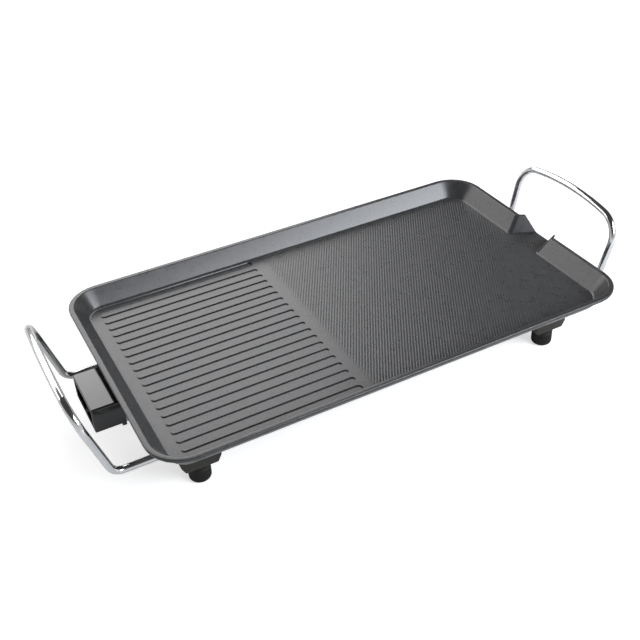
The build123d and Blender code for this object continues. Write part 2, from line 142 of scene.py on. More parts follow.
def linear(hex_colour):
    """An sRGB hex colour as the linear colour that a shader takes."""
    parts = [int(hex_colour[i:i + 2], 16) / 255 for i in (1, 3, 5)]
    return (*[p / 12.92 if p <= 0.04045 else ((p + 0.055) / 1.055) ** 2.4 for p in parts], 1.0)


def add_node(tree, kind, settings=None, links=None):
    """Adds a node, sets its properties or inputs, and links its inputs from other outputs."""
    node = tree.nodes.new(kind)
    for key, value in (settings or {}).items():
        if isinstance(key, str) and hasattr(node, key):
            setattr(node, key, value)
        else:
            node.inputs[key].default_value = value
    for key, output in (links or {}).items():
        tree.links.new(output, node.inputs[key])
    return node


def new_material(name):
    """An empty node material with its tree, shader and object coordinates."""
    material = bpy.data.materials.new(name)
    material.use_nodes = True
    tree = material.node_tree
    tree.nodes.clear()
    shader = add_node(tree, "ShaderNodeBsdfPrincipled")
    output = add_node(tree, "ShaderNodeOutputMaterial", links={"Surface": shader.outputs["BSDF"]})
    output.is_active_output = True
    place = add_node(tree, "ShaderNodeTexCoord").outputs["Object"]
    return material, tree, shader, place


def noise(tree, place, size_mm, detail=2.0, roughness=0.5):
    """Cloudy noise whose patches are about this many millimetres across."""
    settings = {"Scale": 1.0 / (size_mm * MM), "Detail": detail, "Roughness": roughness}
    return add_node(tree, "ShaderNodeTexNoise", settings, {"Vector": place}).outputs["Fac"]


def ramp(tree, value, stops):
    """A colour ramp from (position, hex colour) stops."""
    node = add_node(tree, "ShaderNodeValToRGB", links={"Fac": value})
    elements = node.color_ramp.elements
    while len(elements) < len(stops):
        elements.new(0.5)
    for element, (position, colour) in zip(elements, stops):
        element.position = position
        element.color = linear(colour)
    return node.outputs["Color"]


def spread(tree, value, low, high):
    """A value from 0..1 spread over low..high."""
    settings = {"To Min": low, "To Max": high}
    return add_node(tree, "ShaderNodeMapRange", settings, {"Value": value}).outputs["Result"]


def bump(tree, height, depth_mm):
    """A surface normal from a height pattern of this depth in millimetres."""
    links = {"Height": height}
    settings = {"Strength": 1.0, "Distance": depth_mm * MM}
    return add_node(tree, "ShaderNodeBump", settings, links).outputs["Normal"]


# ------------------------------------------------ materials

def nonstick_coating():
    """Sprayed PTFE on die-cast aluminium: dark grey with metal flake, satin, faint orange peel."""
    material, tree, shader, place = new_material("nonstick_coating")
    cloud = noise(tree, place, 9.0, 3.0)
    fleck = noise(tree, place, 0.7, 2.0)
    tone = ramp(tree, cloud, [(0.30, "#4a4a4b"), (0.70, "#515152")])
    mix = add_node(
        tree, "ShaderNodeMix", {"data_type": "RGBA", "blend_type": "MULTIPLY", "Factor": 0.4}
    )
    tree.links.new(tone, mix.inputs[6])
    tree.links.new(ramp(tree, fleck, [(0.35, "#b4b4b4"), (0.65, "#ffffff")]), mix.inputs[7])
    tree.links.new(mix.outputs[2], shader.inputs["Base Color"])
    tree.links.new(spread(tree, cloud, 0.25, 0.31), shader.inputs["Roughness"])
    shader.inputs["Metallic"].default_value = 0.35
    peel = bump(tree, noise(tree, place, 1.6, 1.0), 0.012)
    tree.links.new(peel, shader.inputs["Normal"])
    return material


def moulded_phenolic():
    """Black phenolic with its moulded satin skin: slightly brown, soft highlights, fine grain."""
    material, tree, shader, place = new_material("moulded_phenolic")
    cloud = noise(tree, place, 6.0, 3.0)
    tone = ramp(tree, cloud, [(0.3, "#2b2a26"), (0.7, "#35332e")])
    tree.links.new(tone, shader.inputs["Base Color"])
    tree.links.new(spread(tree, cloud, 0.38, 0.50), shader.inputs["Roughness"])
    tree.links.new(bump(tree, noise(tree, place, 0.5, 2.0), 0.02), shader.inputs["Normal"])
    shader.inputs["Specular IOR Level"].default_value = 0.3
    return material


def gripped_phenolic():
    """The feet's phenolic, matt from the grip that is cut into it."""
    material, tree, shader, place = new_material("gripped_phenolic")
    cloud = noise(tree, place, 4.0, 3.0)
    tone = ramp(tree, cloud, [(0.3, "#121210"), (0.7, "#1b1b18")])
    tree.links.new(tone, shader.inputs["Base Color"])
    tree.links.new(spread(tree, cloud, 0.50, 0.62), shader.inputs["Roughness"])
    tree.links.new(bump(tree, noise(tree, place, 0.4, 2.0), 0.02), shader.inputs["Normal"])
    shader.inputs["Specular IOR Level"].default_value = 0.3
    return material


def glossy_phenolic():
    """Polished black phenolic: near-mirror skin with a faint ripple from the mould."""
    material, tree, shader, place = new_material("glossy_phenolic")
    cloud = noise(tree, place, 14.0, 2.0)
    tone = ramp(tree, cloud, [(0.3, "#060606"), (0.7, "#0c0c0c")])
    tree.links.new(tone, shader.inputs["Base Color"])
    tree.links.new(spread(tree, cloud, 0.10, 0.16), shader.inputs["Roughness"])
    tree.links.new(bump(tree, noise(tree, place, 7.0, 2.0), 0.02), shader.inputs["Normal"])
    shader.inputs["IOR"].default_value = 1.68
    return material


def chromed_wire():
    """Bright chrome plate on drawn steel wire: a clear mirror with faint drawing lines."""
    material, tree, shader, place = new_material("chromed_wire")
    cloud = noise(tree, place, 5.0, 3.0)
    tone = ramp(tree, cloud, [(0.3, "#e4e5e7"), (0.7, "#eeeeef")])
    tree.links.new(tone, shader.inputs["Base Color"])
    tree.links.new(spread(tree, cloud, 0.09, 0.14), shader.inputs["Roughness"])
    tree.links.new(bump(tree, noise(tree, place, 2.5, 2.0), 0.004), shader.inputs["Normal"])
    shader.inputs["Metallic"].default_value = 1.0
    return material


def heat_tinted_sheath():
    """Stainless sheath annealed by use: straw, brown and blue patches over brushed grey."""
    material, tree, shader, place = new_material("heat_tinted_sheath")
    cloud = noise(tree, place, 22.0, 4.0)
    stops = [(0.25, "#6d665c"), (0.45, "#8a7a62"), (0.60, "#5e5850"), (0.75, "#535a66")]
    tree.links.new(ramp(tree, cloud, stops), shader.inputs["Base Color"])
    grain = noise(tree, place, 0.6, 3.0)
    tree.links.new(spread(tree, grain, 0.32, 0.48), shader.inputs["Roughness"])
    tree.links.new(bump(tree, grain, 0.01), shader.inputs["Normal"])
    shader.inputs["Metallic"].default_value = 1.0
    return material


def zinc_plate():
    """Bright zinc on steel: cool grey, a little cloudy."""
    material, tree, shader, place = new_material("zinc_plate")
    cloud = noise(tree, place, 3.0, 4.0)
    tone = ramp(tree, cloud, [(0.3, "#a7abb0"), (0.7, "#c1c4c8")])
    tree.links.new(tone, shader.inputs["Base Color"])
    tree.links.new(spread(tree, cloud, 0.24, 0.38), shader.inputs["Roughness"])
    tree.links.new(bump(tree, noise(tree, place, 0.5, 3.0), 0.008), shader.inputs["Normal"])
    shader.inputs["Metallic"].default_value = 1.0
    return material


def rolled_brass():
    """Rolled spring brass, dull gold with darker handling marks."""
    material, tree, shader, place = new_material("rolled_brass")
    cloud = noise(tree, place, 4.0, 4.0)
    tone = ramp(tree, cloud, [(0.3, "#a98a4a"), (0.7, "#c9a75c")])
    tree.links.new(tone, shader.inputs["Base Color"])
    tree.links.new(spread(tree, cloud, 0.28, 0.42), shader.inputs["Roughness"])
    tree.links.new(bump(tree, noise(tree, place, 0.4, 2.0), 0.006), shader.inputs["Normal"])
    shader.inputs["Metallic"].default_value = 1.0
    return material


def nickelled_brass():
    """Nickel-plated pins: warm white metal with wear from the plug."""
    material, tree, shader, place = new_material("nickelled_brass")
    cloud = noise(tree, place, 2.5, 4.0)
    tone = ramp(tree, cloud, [(0.3, "#bdb6a6"), (0.7, "#d6d1c4")])
    tree.links.new(tone, shader.inputs["Base Color"])
    tree.links.new(spread(tree, cloud, 0.14, 0.28), shader.inputs["Roughness"])
    tree.links.new(bump(tree, noise(tree, place, 0.5, 2.0), 0.005), shader.inputs["Normal"])
    shader.inputs["Metallic"].default_value = 1.0
    return material


def fired_steatite():
    """Unglazed steatite: chalky cream ceramic."""
    material, tree, shader, place = new_material("fired_steatite")
    cloud = noise(tree, place, 2.0, 4.0)
    tone = ramp(tree, cloud, [(0.3, "#d3cbbb"), (0.7, "#e2dccf")])
    tree.links.new(tone, shader.inputs["Base Color"])
    tree.links.new(spread(tree, cloud, 0.6, 0.75), shader.inputs["Roughness"])
    tree.links.new(bump(tree, noise(tree, place, 0.4, 3.0), 0.015), shader.inputs["Normal"])
    return material


# ------------------------------------------------ mesh helpers

def keep_piece(name, bm, material, replaces=(), sharp_degrees=38.0, outward=True):
    """Turns a bmesh in millimetres into a named piece that rides on the griddle."""
    bmesh.ops.scale(bm, vec=(MM, MM, MM), verts=bm.verts)
    if outward:
        bmesh.ops.recalc_face_normals(bm, faces=bm.faces)
    mesh = bpy.data.meshes.new(name)
    bm.to_mesh(mesh)
    bm.free()
    mesh.materials.append(material)
    mesh.shade_smooth()
    mesh.set_sharp_from_angle(angle=math.radians(sharp_degrees))
    piece = bpy.data.objects.new(name, mesh)
    bpy.context.scene.collection.objects.link(piece)
    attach(piece, "root")
    if replaces:
        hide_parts(*replaces)
    return piece


def rounded(corners, steps=8, closed=True):
    """The points of an outline from its corners (x, y, radius), each round corner as an arc."""
    points = []
    count = len(corners)
    for index, (x, y, radius) in enumerate(corners):
        here = Vector((x, y))
        end = not closed and index in (0, count - 1)
        if radius <= 0 or end:
            points.append(here)
            continue
        before = (Vector(corners[index - 1][:2]) - here).normalized()
        after = (Vector(corners[(index + 1) % count][:2]) - here).normalized()
        half = before.angle(after) / 2
        centre = here + (before + after).normalized() * radius / math.sin(half)
        start = here + before * radius / math.tan(half) - centre
        turn = (math.pi - 2 * half) * (1 if before.cross(after) < 0 else -1)
        for step in range(steps + 1):
            points.append(centre + Matrix.Rotation(turn * step / steps, 2) @ start)
    return points


def loft(bm, rings, closed=True):
    """Edges the first ring and extrudes it through all the others. Returns each ring's vertices."""
    made = [[bm.verts.new(point) for point in rings[0]]]
    pairs = list(zip(made[0], made[0][1:] + made[0][:1]))
    edges = [bm.edges.new(pair) for pair in (pairs if closed else pairs[:-1])]
    for ring in rings[1:]:
        result = bmesh.ops.extrude_edge_only(bm, edges=edges)["geom"]
        edges = [item for item in result if isinstance(item, bmesh.types.BMEdge)]
        added = {item for item in result if isinstance(item, bmesh.types.BMVert)}
        fresh = [
            next(e.other_vert(old) for e in old.link_edges if e.other_vert(old) in added)
            for old in made[-1]
        ]
        for vert, point in zip(fresh, ring):
            vert.co = point
        on_ring = set(fresh)
        edges = [e for e in edges if e.verts[0] in on_ring and e.verts[1] in on_ring]
        made.append(fresh)
    return made


def sweep_wire(bm, points, radii, section, steps=10):
    """Draws a section along straight runs, with a spun bend of the given radius at each corner."""
    points = [Vector(p) for p in points]
    heading = (points[1] - points[0]).normalized()
    across = heading.orthogonal().normalized() if abs(heading.z) > 0.9 else heading.cross((0, 0, 1))
    upward = across.cross(heading)
    ring = [bm.verts.new(points[0] + across * u + upward * v) for u, v in section]
    edges = [bm.edges.new(pair) for pair in zip(ring, ring[1:] + ring[:1])]
    first = list(edges)
    place = points[0]
    for index, corner in enumerate(points[1:], 1):
        heading = (corner - points[index - 1]).normalized()
        last = index == len(points) - 1
        if not last:
            onward = (points[index + 1] - corner).normalized()
            turn = heading.angle(onward)
            radius = radii[index - 1]
            tangent = radius * math.tan(turn / 2)
        stop = corner if last else corner - heading * tangent
        result = bmesh.ops.extrude_edge_only(bm, edges=edges)["geom"]
        moved = [g for g in result if isinstance(g, bmesh.types.BMVert)]
        bmesh.ops.translate(bm, verts=moved, vec=stop - place)
        on_ring = set(moved)
        edges = [
            g for g in result if isinstance(g, bmesh.types.BMEdge)
            and g.verts[0] in on_ring and g.verts[1] in on_ring
        ]
        place = stop
        if last:
            break
        axis = heading.cross(onward).normalized()
        centre = stop + axis.cross(heading) * radius
        count = max(3, round(steps * turn / (math.pi / 2)))
        result = bmesh.ops.spin(
            bm, geom=edges, cent=centre, axis=axis, angle=turn, steps=count,
            use_merge=False, use_duplicate=False,
        )["geom_last"]
        edges = [g for g in result if isinstance(g, bmesh.types.BMEdge)]
        place = corner + onward * tangent
    for loop in (first, edges):
        bmesh.ops.contextual_create(bm, geom=loop)


def circle_section(radius, count=28):
    """A round wire's section as points about its middle."""
    steps = [2 * math.pi * i / count for i in range(count)]
    return [(radius * math.cos(a), radius * math.sin(a)) for a in steps]


# ------------------------------------------------ cooking plate: walls, rim and spout

def tray_path(inset, skin, height, root_round):
    """One level of the tray from the spout's far tip, round the plate, to its near tip.

    inset is measured in from the plate's edge; skin is how far this surface lies
    outside the spout's inner side.
    """
    end = plate_end - inset
    side = plate_side - inset
    round_off = corner_radius - inset
    share = (min(height, rim_top) - flat_floor) / tray_depth
    tip = spout_tip - spout_end_lean * max(share, 0.0)

    def half(x):
        return spout_tip_half + (spout_tip - x) * spout_taper + spout_flare * share + skin

    far = [(tip, half(tip), 0), (end, half(end), root_round), (end, side, round_off)]
    far += [(rib_end + shift, side, 0) for shift in (2.0, 0.0, -2.0, -4.0, -6.0)]
    far += [(-end, side, round_off)]
    return far + [(x, -y, r) for x, y, r in reversed(far)]


def wall_outer(height):
    """How far the wall's outer face lies in from the plate's edge at a height."""
    return rim_flange + (rim_top - height) * wall_slope - wall_skin


def wall_levels():
    """The tray's section as (inset, skin, height, root round), from the floor over the rim and down."""
    lean = math.atan2(tray_depth, wall_run)
    levels = []
    reach = foot_round * math.tan(lean / 2)
    land = wall_foot + wall_foot_land
    for inset, height in ((land + 0.5, ribbed_floor - 0.2), (land + 0.3, ribbed_floor + 0.25),
                          (land + 0.1, flat_floor - 0.15)):
        levels.append((inset, -reach - 0.2, height, spout_root_round))
    for step in range(6):
        angle = lean * step / 5
        inset = wall_foot + reach - foot_round * math.sin(angle)
        height = flat_floor + foot_round * (1 - math.cos(angle))
        inward = inset - (wall_foot - (height - flat_floor) * wall_slope)
        levels.append((inset, -inward, height, spout_root_round))
    reach = rim_inner_round * math.tan(lean / 2)
    for step in range(5):
        angle = lean * (1 - step / 4)
        inset = rim_flange - reach + rim_inner_round * math.sin(angle)
        height = rim_top - rim_inner_round * (1 - math.cos(angle))
        levels.append((inset, spout_skin * (rim_flange + 0.7 - inset) / (rim_flange + 0.7),
                       height, spout_root_round - 0.8))
    outer_root = spout_root_round - wall_thickness
    for step in range(6):
        angle = math.pi / 2 * step / 5
        inset = rim_outer_round * (1 - math.sin(angle))
        height = rim_top - rim_outer_round * (1 - math.cos(angle))
        levels.append((inset, spout_skin * (1 - inset / rim_flange), height, outer_root))
    lip = rim_top - lip_height
    under = rim_flange + lip_height * wall_slope - wall_skin
    levels += [
        (0.0, spout_skin, lip + 0.5, outer_root),
        (0.2, spout_skin, lip + 0.1, outer_root),
        (0.6, spout_skin, lip, outer_root),
        (under - 0.6, spout_skin, lip, outer_root),
        (under - 0.1, spout_skin, lip - 0.3, outer_root),
        (under + 0.5, spout_skin, lip - 0.9, outer_root),
        (wall_outer(flat_floor - spout_wall), spout_skin, flat_floor - spout_wall, outer_root),
    ]
    return levels


def bottom_levels():
    """The rest of the outside below the spout, down to the flat underside."""
    height = flat_floor - spout_wall
    levels = [(wall_outer(height), height)]
    last_turn = math.radians(60)
    for share in (0.0, 0.3, 0.6, 0.85, 1.0):
        turn = share * last_turn
        rise = bottom_round * 0.55 * (1 - math.sin(turn) / math.sin(last_turn))
        tuck = bottom_round * 0.7 * (1 - math.cos(turn))
        levels.append((wall_outer(underside + rise) + tuck, underside + rise))
    return levels


def sunk_at(x):
    """How far the land's edge is sunk: it shows beside the channels and is buried in the flat half."""
    return hidden * min(max((x - (rib_end - 6.0)) / 4.0, 0.0), 1.0)


def plate_shell(material):
    """The tray in one skin: land, walls, rim, outside and underside, with the spout's end faces."""
    bm = bmesh.new()
    rings = []
    for inset, skin, height, root in wall_levels():
        points = rounded(tray_path(inset, skin, height, root), closed=False)
        below = height < flat_floor and inset > wall_foot
        ring = [(p.x, p.y, height - (sunk_at(p.x) if below else 0.0)) for p in points]
        rings.append(ring)
    for inset, height in bottom_levels():
        path = tray_path(inset, 0.0, height, 0)
        end = plate_end - inset
        path[:2] = [(end, 0.0, 0), (end, below_root_half, 0)]
        path[-2:] = [(end, -below_root_half, 0), (end, 0.0, 0)]
        rings.append([(p.x, p.y, height) for p in rounded_straight(path)])
    made = loft(bm, rings, closed=False)
    spout_rings = made[:len(wall_levels())]
    far_end = [ring[0] for ring in spout_rings]
    near_end = [ring[-1] for ring in spout_rings]
    bm.faces.new(far_end)
    bm.faces.new(near_end[::-1])
    bm.faces.new([far_end[0], near_end[0], near_end[-1], far_end[-1]])
    bm.faces.new([far_end[-1], near_end[-1], made[len(spout_rings)][0]])
    bm.faces.new(made[-1][:-1])
    bmesh.ops.remove_doubles(bm, verts=bm.verts, dist=0.01)
    bmesh.ops.dissolve_degenerate(bm, edges=bm.edges, dist=0.005)
    return keep_piece("plate_shell", bm, material, ["cooking_plate"], 42.0)


def rounded_straight(path):
    """As rounded, but a nearly straight corner still gives its full count of points."""
    points = []
    shifts = [(step - 4) * below_root_spacing for step in range(9)]
    for index, (x, y, _) in enumerate(path):
        if index in (1, len(path) - 2):
            side = 1 if y > 0 else -1
            points += [Vector((x, y + side * shift)) for shift in shifts[::side]]
        else:
            points += rounded_one(path, index)
    return points


def rounded_one(path, index):
    """The points of one corner of an open outline."""
    if index in (0, len(path) - 1) or path[index][2] <= 0:
        return [Vector(path[index][:2])]
    return rounded(path[index - 1:index + 2], closed=False)[1:-1]


# ------------------------------------------------ cooking plate: ribs and dimples

def comb_outline():
    """The raised ribs and the smooth band that joins them, as corners with radii, anticlockwise."""
    half = rib_base / 2
    gap_round = (rib_pitch - rib_base) / 2 - 0.01
    edge = dimple_start + rib_draft_total()
    side = plate_side - wall_foot + 2.0
    gutter_wall = plate_side - wall_foot - wall_foot_land
    centres = [(index - (rib_count - 1) / 2) * rib_pitch for index in range(rib_count)]
    last = centres[-1] + half
    gutter_round = (gutter_wall - last) / 2 - 0.01
    corners = [(edge, -side, 0), (edge, side, 0), (rib_end - gutter_round, side, 0)]
    corners += [(rib_end - gutter_round, gutter_wall, 0), (rib_end, gutter_wall, gutter_round)]
    for y in reversed(centres):
        radius = gutter_round if y == centres[-1] else gap_round
        corners.append((rib_end, y + half, radius))
        corners.append((rib_start, y + half, half - 0.01))
        corners.append((rib_start, y - half, half - 0.01))
        radius = gutter_round if y == centres[0] else gap_round
        corners.append((rib_end, y - half, radius))
    corners += [(rib_end, -gutter_wall, gutter_round), (rib_end - gutter_round, -gutter_wall, 0)]
    corners += [(rib_end - gutter_round, -side, 0)]
    return corners


def rib_steps():
    """The rib's side as (inward, upward) steps: a filleted foot, a steep face, a tight top edge."""
    foot, top, steepest = 0.4, 0.22, math.radians(74)
    marks = [(0.0, 0.0)]
    for step in range(1, 6):
        angle = steepest * step / 5
        marks.append((foot * math.sin(angle), foot * (1 - math.cos(angle))))
    climb = rib_height - marks[-1][1] - top * (1 - math.cos(steepest))
    face = marks[-1][0] + climb / math.tan(steepest)
    for step in range(5):
        angle = steepest * (1 - step / 4)
        inward = face + top * (math.sin(steepest) - math.sin(angle))
        marks.append((inward, rib_height - top * (1 - math.cos(angle))))
    return [(b[0] - a[0], b[1] - a[1]) for a, b in zip(marks, marks[1:])]


def rib_draft_total():
    """How far a rib's side leans in from its foot to its top."""
    return sum(inward for inward, upward in rib_steps())


def plate_ribs(material):
    """Ribs with rounded tops and a filleted foot, from one outline stepped inwards and upwards."""
    bm = bmesh.new()
    outline = rounded(comb_outline(), steps=6)
    face = bm.faces.new([bm.verts.new((p.x, p.y, ribbed_floor)) for p in outline])
    face.normal_update()
    for inward, upward in rib_steps():
        bmesh.ops.inset_region(
            bm, faces=[face], thickness=inward, depth=upward, use_even_offset=True
        )
    return keep_piece("plate_ribs", bm, material, ["cooking_plate"], 50.0, False)


def plate_channel_floor(material):
    """The sunken floor under and round the ribs."""
    bm = bmesh.new()
    inset = wall_foot + 1.5
    end = plate_end - inset
    side = plate_side - inset
    radius = corner_radius - inset
    buried_end = rib_end + 4.0
    corners = [
        (buried_end, -side, 0), (buried_end, side, 0), (-end, side, radius), (-end, -side, radius),
    ]
    face = bm.faces.new([bm.verts.new((p.x, p.y, ribbed_floor)) for p in rounded(corners)])
    face.normal_update()
    return keep_piece(
        "plate_channel_floor", bm, material, ["cooking_plate"], outward=False
    )


def on_flat_half(x, y):
    """Whether a place belongs to the dimpled floor, with a hidden margin under the walls."""
    end = plate_end - wall_foot + hidden
    side = plate_side - wall_foot + hidden
    radius = corner_radius - wall_foot + hidden
    if x <= end:
        dx = max(x - (end - radius), 0.0)
        dy = max(abs(y) - (side - radius), 0.0)
        return abs(y) <= side and math.hypot(dx, dy) <= radius
    return abs(y) <= spout_tip_half + (spout_tip - x) * spout_taper + hidden


def dimple_height(x, y):
    """Staggered round hollows that fade out at the smooth band and at the spout's tip."""
    along = (x - dimple_start) / dimple_pitch
    across = y / (2 * dimple_row)
    wave = math.cos(2 * math.pi * along) * math.cos(2 * math.pi * across)
    fade = min((x - dimple_start) / 9.0, (spout_tip - x) / 1.5, 1.0)
    return -dimple_depth * max(fade, 0.0) * (0.5 + 0.5 * wave) ** 1.6


def plate_dimples(name, y_low, y_high, material):
    """Half of the flat cooking floor, with every dimple in the mesh."""
    bm = bmesh.new()
    length = spout_tip - dimple_start
    width = y_high - y_low
    step = dimple_pitch / dimple_samples
    bmesh.ops.create_grid(
        bm, x_segments=round(length / step), y_segments=round(width / step), size=0.5
    )
    middle = Vector((dimple_start + length / 2, (y_low + y_high) / 2, flat_floor))
    bmesh.ops.scale(bm, vec=(length, width, 1.0), verts=bm.verts)
    bmesh.ops.translate(bm, vec=middle, verts=bm.verts)
    outside = [f for f in bm.faces if not on_flat_half(*f.calc_center_median().xy)]
    bmesh.ops.delete(bm, geom=outside, context="FACES")
    for vert in bm.verts:
        vert.co.z += dimple_height(vert.co.x, vert.co.y)
    tip_edges = [
        e for e in bm.edges if e.is_boundary and min(v.co.x for v in e.verts) > spout_tip - 0.01
    ]
    dropped = bmesh.ops.extrude_edge_only(bm, edges=tip_edges)["geom"]
    dropped = [g for g in dropped if isinstance(g, bmesh.types.BMVert)]
    bmesh.ops.translate(bm, vec=(0, 0, -hidden), verts=dropped)
    return keep_piece(name, bm, material, ["cooking_plate"], 60.0, False)


# ------------------------------------------------ legs, feet and handles

def leg_block(name, material):
    """A moulded leg with chamfered lower ends and softly rounded edges."""
    low, high = node_box(name)
    chamfer_in, chamfer_up = 3.5, 7.0
    bm = bmesh.new()
    corners = [
        (low.x, high.z), (low.x, low.z + chamfer_up), (low.x + chamfer_in, low.z),
        (high.x - chamfer_in, low.z), (high.x, low.z + chamfer_up), (high.x, high.z),
    ]
    face = bm.faces.new([bm.verts.new((x, low.y, z)) for x, z in corners])
    moved = bmesh.ops.extrude_face_region(bm, geom=[face])["geom"]
    moved = [g for g in moved if isinstance(g, bmesh.types.BMVert)]
    bmesh.ops.translate(bm, vec=(0, high.y - low.y, 0), verts=moved)
    bmesh.ops.bevel(
        bm, geom=bm.edges, offset=1.3, segments=4, profile=0.5, affect="EDGES", material=-1
    )
    return keep_piece(name + "_block", bm, material, [name])


def foot_profile(radius, height):
    """A foot from its screw recess, round the grip, to the spigot: (radius, height) pairs."""
    recess, recess_depth, screw_hole = 5.25, 10.0, 2.8
    lower_round, grip_start, grip_end = 3.5, 4.4, 14.0
    profile = [(screw_hole, height), (screw_hole, recess_depth), (recess, recess_depth), (recess, 0.5)]
    profile.append((recess + 0.5, 0.0))
    for step in range(7):
        angle = math.pi / 2 * step / 6
        profile.append(
            (radius - lower_round * (1 - math.sin(angle)), lower_round * (1 - math.cos(angle)))
        )
    rows = 22
    profile += [
        (radius, grip_start + (grip_end - grip_start) * row / (rows - 1)) for row in range(rows)
    ]
    profile += [(radius, 14.6), (radius - 0.5, 15.1), (radius - 0.5, 18.8), (radius - 1.2, 19.5)]
    profile += [(6.5, 19.5), (6.5, height)]
    return profile, grip_start, grip_end


def foot(name, material):
    """A round foot with a diamond grip cut into its lower part."""
    low, high = node_box(name)
    centre = Vector(((low.x + high.x) / 2, (low.y + high.y) / 2, 0))
    radius = (high.x - low.x) / 2
    profile, grip_start, grip_end = foot_profile(radius - 0.1, high.z)
    around, diamonds, grip_depth = 120, 30, 0.30
    bm = bmesh.new()
    line = [bm.verts.new((r, 0, z)) for r, z in profile]
    edges = [bm.edges.new(pair) for pair in zip(line, line[1:] + line[:1])]
    bmesh.ops.spin(
        bm, geom=edges, cent=(0, 0, 0), axis=(0, 0, 1), angle=2 * math.pi, steps=around,
        use_merge=True, use_duplicate=False,
    )
    bmesh.ops.remove_doubles(bm, verts=bm.verts, dist=0.001)
    pitch = 2 * math.pi * radius / diamonds
    for vert in bm.verts:
        out = math.hypot(vert.co.x, vert.co.y)
        if grip_start < vert.co.z < grip_end and out > radius - 0.5:
            turn = math.atan2(vert.co.y, vert.co.x) * diamonds / 2
            climb = math.pi * vert.co.z / pitch
            groove = min(abs(math.sin(turn + climb)), abs(math.sin(turn - climb)))
            shrink = 1 - grip_depth * (1 - min(groove / 0.5, 1.0)) / out
            vert.co.x *= shrink
            vert.co.y *= shrink
    bmesh.ops.translate(bm, vec=centre, verts=bm.verts)
    return keep_piece(name + "_turned", bm, material, [name], 30.0)


def handle_wire(name, side, material):
    """A bent handle: level out of one leg, up a leaning loop, across its bow and back."""
    low, high = node_box(name)
    wire = 7.0
    level = low.z + wire / 2
    spread_y = (high.y - low.y - wire) / 2
    splay, rise, bow, bow_halfway = 3.0, 75.5, 9.1, 0.75
    lean = math.radians(75.7 if side > 0 else 73.2)
    inner_x = min(abs(low.x), abs(high.x))
    outer_x = max(abs(low.x), abs(high.x)) - wire / 2 * math.sin(lean)
    bend_x = outer_x - handle_top_reach(rise, bow, lean)
    bend_y = wire_bore_y()

    def on_loop(y, distance):
        return (side * (bend_x + distance * math.cos(lean)), y, level + distance * math.sin(lean))

    corner_y = bend_y + splay
    half = [
        (side * inner_x, -bend_y, level),
        (side * bend_x, -bend_y, level),
        on_loop(-corner_y, rise),
        on_loop(-corner_y / 2, rise + bow * bow_halfway),
    ]
    points = half + [on_loop(0, rise + bow)] + [(x, -y, z) for x, y, z in reversed(half)]
    radii = [12.0, 26.0, 260.0]
    bm = bmesh.new()
    sweep_wire(bm, points, radii + [260.0] + radii[::-1], circle_section(wire / 2), 16)
    return keep_piece(name + "_wire", bm, material, [name], 60.0)


def handle_top_reach(rise, bow, lean):
    """How far the top of the bow stands out past the lower bends, on the arc of the bow."""
    return (rise + bow) * math.cos(lean) - bow_slack


def wire_bore_y():
    """The wires run this far from the plate's middle, towards the inner side of the legs."""
    return leg_high.y - wire_bore_inset


# ------------------------------------------------ power socket

def socket_shell(material):
    """The glossy moulded sleeve round the terminals, with softened edges and a lower flange."""
    low, high = shroud_low, shroud_high
    flange_drop, wall, base_wall, back_wall, edge = 2.5, 3.0, 2.5, 4.0, 1.2
    bottom = low.z + flange_drop
    middle_y = (low.y + high.y) / 2

    def ring(x, offset, inner=False):
        bottom_off = base_wall - wall if inner else 0.0
        y0, y1 = low.y + offset, high.y - offset
        z0, z1 = bottom + offset + bottom_off, high.z - offset
        radius = max(edge * 1.2 - offset, 0.5)
        corners = [(y0, z0, radius), (y1, z0, radius), (y1, z1, radius), (y0, z1, radius)]
        return [(x, p.x, p.y) for p in rounded(corners, steps=6)]

    rings = [ring(high.x, 0.0)]
    for step in range(5):
        angle = math.pi / 2 * step / 4
        inward = edge * (1 - math.cos(angle))
        rings.append(ring(low.x + edge * (1 - math.sin(angle)), inward))
    rings.append(ring(low.x, wall - 0.6, True))
    rings.append(ring(low.x + 0.6, wall, True))
    rings.append(ring(high.x - back_wall, wall, True))
    bm = bmesh.new()
    loft(bm, rings)
    bmesh.ops.holes_fill(bm, edges=[e for e in bm.edges if e.is_boundary], sides=0)
    flange = bmesh.ops.create_cube(bm, size=1.0)["verts"]
    bmesh.ops.scale(bm, vec=(back_wall, high.y - low.y - 0.4, flange_drop * 2), verts=flange)
    place = (high.x - back_wall / 2, middle_y, low.z + flange_drop)
    bmesh.ops.translate(bm, vec=place, verts=flange)
    flange_edges = list({edge for vert in flange for edge in vert.link_edges})
    bmesh.ops.bevel(
        bm, geom=flange_edges, offset=0.6, segments=3, profile=0.5, affect="EDGES", material=-1
    )
    return keep_piece("socket_sleeve", bm, material, ["socket_shroud"])


# ------------------------------------------------ the underside of the plate

def element_route():
    """The element's centre line in plan: in at the socket, round both halves and out again."""
    element_high = node_box("heating_element")[1]
    turn_x = element_high.x - element_radius
    outer_y = element_high.y - element_radius
    half = [
        (-plate_end + terminal_inset, terminal_y), (-turn_x, terminal_y), (-turn_x, outer_y),
        (turn_x, outer_y), (turn_x, element_inner_y),
        (-turn_x + element_inner_turn, element_inner_y),
    ]
    return half + [(x, -y) for x, y in reversed(half)]


def strap_places():
    """The middle of each strap: two over each long run of the element."""
    places = []
    outer = (strap_high.x - strap_half_width, strap_high.y - strap_half_length)
    for x, y in (outer, (strap_inner_x, element_inner_y)):
        places += [(x, y), (x, -y), (-x, y), (-x, -y)]
    return places


